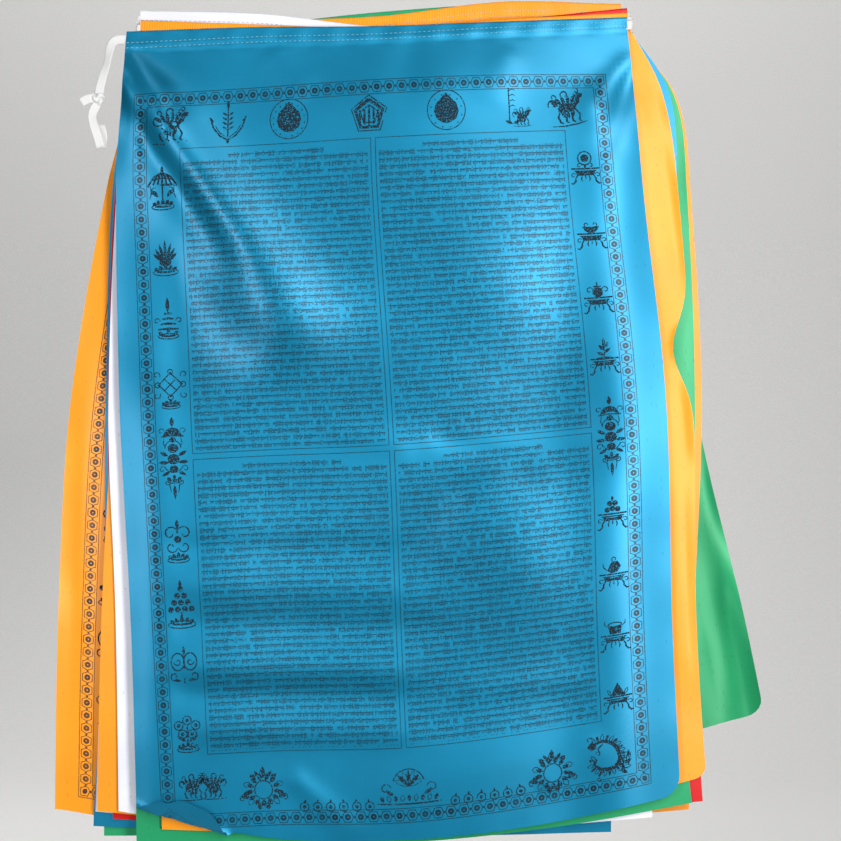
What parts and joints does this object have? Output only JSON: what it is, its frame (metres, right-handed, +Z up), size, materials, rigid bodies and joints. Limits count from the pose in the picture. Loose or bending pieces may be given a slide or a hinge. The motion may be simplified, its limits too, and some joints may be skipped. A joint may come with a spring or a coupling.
{
  "type": "tibetan prayer flag string",
  "caption": "String of large printed prayer flags in blue, yellow, green, red and white, gathered flag on flag and hung from its hemmed top edge, with the tape's tied end at one corner",
  "frame": {"origin": "middle of the stack's top edge, where it is held", "axes": "X along the top edge, +Y from the front flag to the rear one, +Z up"},
  "size_m": [0.6601, 0.0743, 0.7776],
  "materials": {
    "blue_cloth": "satin woven polyester, printed in dark ink",
    "yellow_cloth": "satin woven polyester, printed in dark ink",
    "green_cloth": "satin woven polyester, printed in dark ink",
    "red_cloth": "satin woven polyester, printed in dark ink",
    "white_cloth": "satin woven polyester, printed in dark ink",
    "cotton_tape": "matt white woven tape"
  },
  "bodies": {
    "root": {"flag_blue_1": "blue_cloth", "flag_yellow_1": "yellow_cloth", "flag_green_1": "green_cloth", "flag_red_1": "red_cloth", "flag_white_1": "white_cloth", "flag_blue_2": "blue_cloth", "flag_yellow_2": "yellow_cloth", "flag_green_2": "green_cloth", "flag_red_2": "red_cloth", "flag_white_2": "white_cloth", "flag_blue_3": "blue_cloth", "flag_yellow_3": "yellow_cloth", "flag_green_3": "green_cloth", "flag_red_3": "red_cloth", "flag_white_3": "white_cloth", "flag_blue_4": "blue_cloth", "flag_yellow_4": "yellow_cloth", "flag_green_4": "green_cloth", "flag_red_4": "red_cloth", "flag_white_4": "white_cloth", "tape_loop_01": "cotton_tape", "tape_loop_02": "cotton_tape", "tape_loop_03": "cotton_tape", "tape_loop_04": "cotton_tape", "tape_loop_05": "cotton_tape", "tape_loop_06": "cotton_tape", "tape_loop_07": "cotton_tape", "tape_loop_08": "cotton_tape", "tape_loop_09": "cotton_tape", "tape_loop_10": "cotton_tape", "tape_loop_11": "cotton_tape", "tape_loop_12": "cotton_tape", "tape_loop_13": "cotton_tape", "tape_loop_14": "cotton_tape", "tape_loop_15": "cotton_tape", "tape_loop_16": "cotton_tape", "tape_loop_17": "cotton_tape", "tape_loop_18": "cotton_tape", "tape_loop_19": "cotton_tape", "tie_upper": "cotton_tape", "tie_knot": "cotton_tape", "tie_end": "cotton_tape", "tie_tail": "cotton_tape"}
  },
  "joints": []
}
